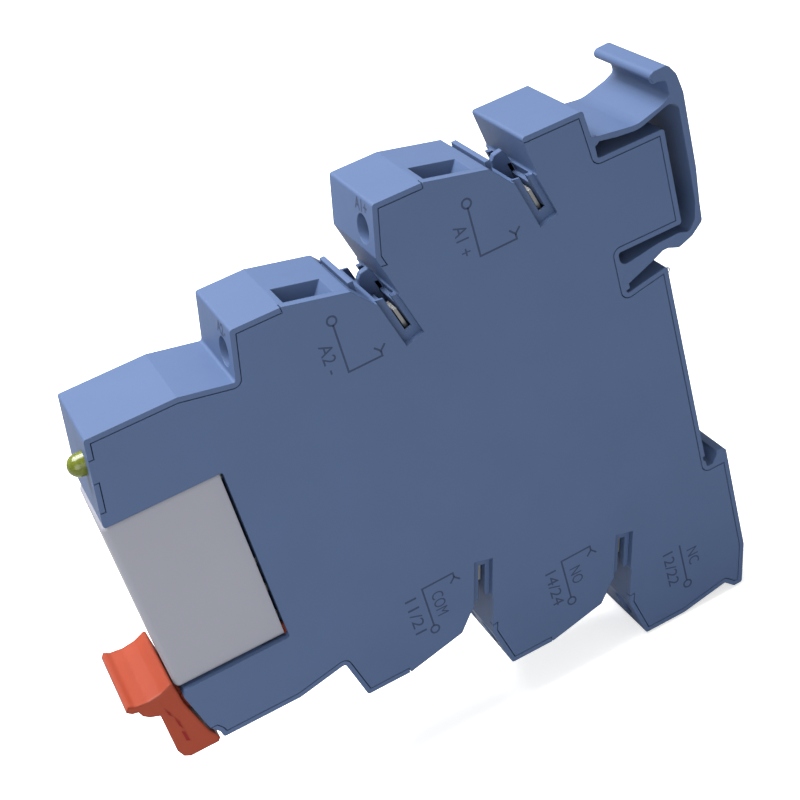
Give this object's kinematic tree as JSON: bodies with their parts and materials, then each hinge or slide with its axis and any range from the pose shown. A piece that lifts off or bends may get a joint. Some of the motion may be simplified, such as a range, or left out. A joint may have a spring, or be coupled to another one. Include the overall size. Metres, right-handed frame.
{
  "type": "plug-in interface relay with rail socket",
  "caption": "Slim rail-mounted relay module: a stepped blue-grey screw-terminal socket with a plug-in relay, an orange ejector lever and a status lamp.",
  "frame": {"origin": "middle of the housing's flat rear face that lies on the mounting rail, halfway across the module's width and halfway up the rail", "axes": "+X along the rail towards the removable side cover, +Y from the relay front to the rail, +Z from the output terminals to the input terminals"},
  "size_m": [0.014, 0.0941, 0.082],
  "materials": {
    "housing_plastic": "fine matt moulding",
    "inner_plastic": "natural moulding",
    "lever_plastic": "satin moulding",
    "lamp_resin": "clear tinted resin",
    "board": "lacquered laminate",
    "dark_moulding": "moulded packages",
    "contact_metal": "tin plated",
    "cage_metal": "zinc plated",
    "screw_metal": "zinc plated",
    "relay_plastic": "fine matt moulding",
    "relay_base_plastic": "moulded",
    "copper_wire": "enamelled winding",
    "iron": "annealed iron, plated"
  },
  "bodies": {
    "socket": {"housing": "housing_plastic", "side_cover": "housing_plastic", "divider": "inner_plastic", "status_led": "lamp_resin", "circuit_board": "board", "rectifier": "dark_moulding", "resistors": "dark_moulding", "diode": "dark_moulding", "capacitor": "dark_moulding", "coil_contact_near": "contact_metal", "coil_contact_far": "contact_metal", "strip_a2": "contact_metal", "strip_a1": "contact_metal", "strip_11": "contact_metal", "strip_14": "contact_metal", "strip_12": "contact_metal", "strip_21": "contact_metal", "strip_24": "contact_metal", "strip_22": "contact_metal"},
    "lever": {"ejector_lever": "lever_plastic"},
    "relay": {"relay_case": "relay_plastic", "relay_base": "relay_base_plastic", "coil_pins": "contact_metal", "com_terminals": "contact_metal", "no_terminals": "contact_metal", "nc_terminals": "contact_metal", "coil_bobbin": "inner_plastic", "coil_winding": "copper_wire", "core": "iron", "yoke": "iron"},
    "armature_body": {"armature": "iron", "contact_card": "inner_plastic"},
    "leaf_body": {"moving_contacts": "contact_metal"},
    "screw_body_a2": {"screw_a2": "screw_metal"},
    "cage_body_a2": {"cage_a2": "cage_metal"},
    "screw_body_a1": {"screw_a1": "screw_metal"},
    "cage_body_a1": {"cage_a1": "cage_metal"},
    "screw_body_11": {"screw_11": "screw_metal"},
    "cage_body_11": {"cage_11": "cage_metal"},
    "screw_body_14": {"screw_14": "screw_metal"},
    "cage_body_14": {"cage_14": "cage_metal"},
    "screw_body_12": {"screw_12": "screw_metal"},
    "cage_body_12": {"cage_12": "cage_metal"},
    "screw_body_21": {"screw_21": "screw_metal"},
    "cage_body_21": {"cage_21": "cage_metal"},
    "screw_body_24": {"screw_24": "screw_metal"},
    "cage_body_24": {"cage_24": "cage_metal"},
    "screw_body_22": {"screw_22": "screw_metal"},
    "cage_body_22": {"cage_22": "cage_metal"}
  },
  "joints": [
    {"name": "lever_swing", "type": "hinge", "parent": "socket", "child": "lever", "pos_m": [0, -0.0675, -0.0175], "axis": [1, 0, 0], "range_deg": [0, 25]},
    {"name": "relay_slide", "type": "slide", "parent": "socket", "child": "relay", "axis": [0, -1, 0], "range_m": [0, 0.00366]},
    {"name": "armature_swing", "type": "hinge", "parent": "relay", "child": "armature_body", "pos_m": [0, -0.0679, 0.0004], "axis": [-1, 0, 0], "range_deg": [0, 3.2], "stiffness_Nm_per_rad": 0.02, "springref_deg": -5.73},
    {"name": "leaf_swing", "type": "hinge", "parent": "relay", "child": "leaf_body", "pos_m": [0, -0.0676, -0.0043], "axis": [-1, 0, 0], "range_deg": [0, 3.3]},
    {"name": "screw_turn_a2", "type": "hinge", "parent": "socket", "child": "screw_body_a2", "pos_m": [0.00345, -0.05811, 0.0294], "axis": [0, 0.9744, -0.225], "range_deg": [0, 1440]},
    {"name": "cage_slide_a2", "type": "slide", "parent": "socket", "child": "cage_body_a2", "axis": [0, -0.9744, 0.225], "range_m": [0, 0.002]},
    {"name": "screw_turn_a1", "type": "hinge", "parent": "socket", "child": "screw_body_a1", "pos_m": [0.00345, -0.03701, 0.0366], "axis": [0, 0.9744, -0.225], "range_deg": [0, 1440]},
    {"name": "cage_slide_a1", "type": "slide", "parent": "socket", "child": "cage_body_a1", "axis": [0, -0.9744, 0.225], "range_m": [0, 0.002]},
    {"name": "screw_turn_11", "type": "hinge", "parent": "socket", "child": "screw_body_11", "pos_m": [0.00345, -0.05811, -0.022], "axis": [0, 0.9744, 0.225], "range_deg": [0, 1440]},
    {"name": "cage_slide_11", "type": "slide", "parent": "socket", "child": "cage_body_11", "axis": [0, -0.9744, -0.225], "range_m": [0, 0.002]},
    {"name": "screw_turn_14", "type": "hinge", "parent": "socket", "child": "screw_body_14", "pos_m": [0.00345, -0.03701, -0.0292], "axis": [0, 0.9744, 0.225], "range_deg": [0, 1440]},
    {"name": "cage_slide_14", "type": "slide", "parent": "socket", "child": "cage_body_14", "axis": [0, -0.9744, -0.225], "range_m": [0, 0.002]},
    {"name": "screw_turn_12", "type": "hinge", "parent": "socket", "child": "screw_body_12", "pos_m": [0.00345, -0.01591, -0.0364], "axis": [0, 0.9744, 0.225], "range_deg": [0, 1440]},
    {"name": "cage_slide_12", "type": "slide", "parent": "socket", "child": "cage_body_12", "axis": [0, -0.9744, -0.225], "range_m": [0, 0.002]},
    {"name": "screw_turn_21", "type": "hinge", "parent": "socket", "child": "screw_body_21", "pos_m": [-0.00345, -0.05811, -0.022], "axis": [0, 0.9744, 0.225], "range_deg": [0, 1440]},
    {"name": "cage_slide_21", "type": "slide", "parent": "socket", "child": "cage_body_21", "axis": [0, -0.9744, -0.225], "range_m": [0, 0.002]},
    {"name": "screw_turn_24", "type": "hinge", "parent": "socket", "child": "screw_body_24", "pos_m": [-0.00345, -0.03701, -0.0292], "axis": [0, 0.9744, 0.225], "range_deg": [0, 1440]},
    {"name": "cage_slide_24", "type": "slide", "parent": "socket", "child": "cage_body_24", "axis": [0, -0.9744, -0.225], "range_m": [0, 0.002]},
    {"name": "screw_turn_22", "type": "hinge", "parent": "socket", "child": "screw_body_22", "pos_m": [-0.00345, -0.01591, -0.0364], "axis": [0, 0.9744, 0.225], "range_deg": [0, 1440]},
    {"name": "cage_slide_22", "type": "slide", "parent": "socket", "child": "cage_body_22", "axis": [0, -0.9744, -0.225], "range_m": [0, 0.002]}
  ],
  "couplings": [
    {"joint": "lever_swing", "follows": "relay_slide", "rad_per_m": 119.05},
    {"joint": "leaf_swing", "follows": "armature_swing", "ratio": 1},
    {"joint": "screw_turn_a2", "follows": "cage_slide_a2", "rad_per_m": 12566},
    {"joint": "screw_turn_a1", "follows": "cage_slide_a1", "rad_per_m": 12566},
    {"joint": "screw_turn_11", "follows": "cage_slide_11", "rad_per_m": 12566},
    {"joint": "screw_turn_14", "follows": "cage_slide_14", "rad_per_m": 12566},
    {"joint": "screw_turn_12", "follows": "cage_slide_12", "rad_per_m": 12566},
    {"joint": "screw_turn_21", "follows": "cage_slide_21", "rad_per_m": 12566},
    {"joint": "screw_turn_24", "follows": "cage_slide_24", "rad_per_m": 12566},
    {"joint": "screw_turn_22", "follows": "cage_slide_22", "rad_per_m": 12566}
  ]
}
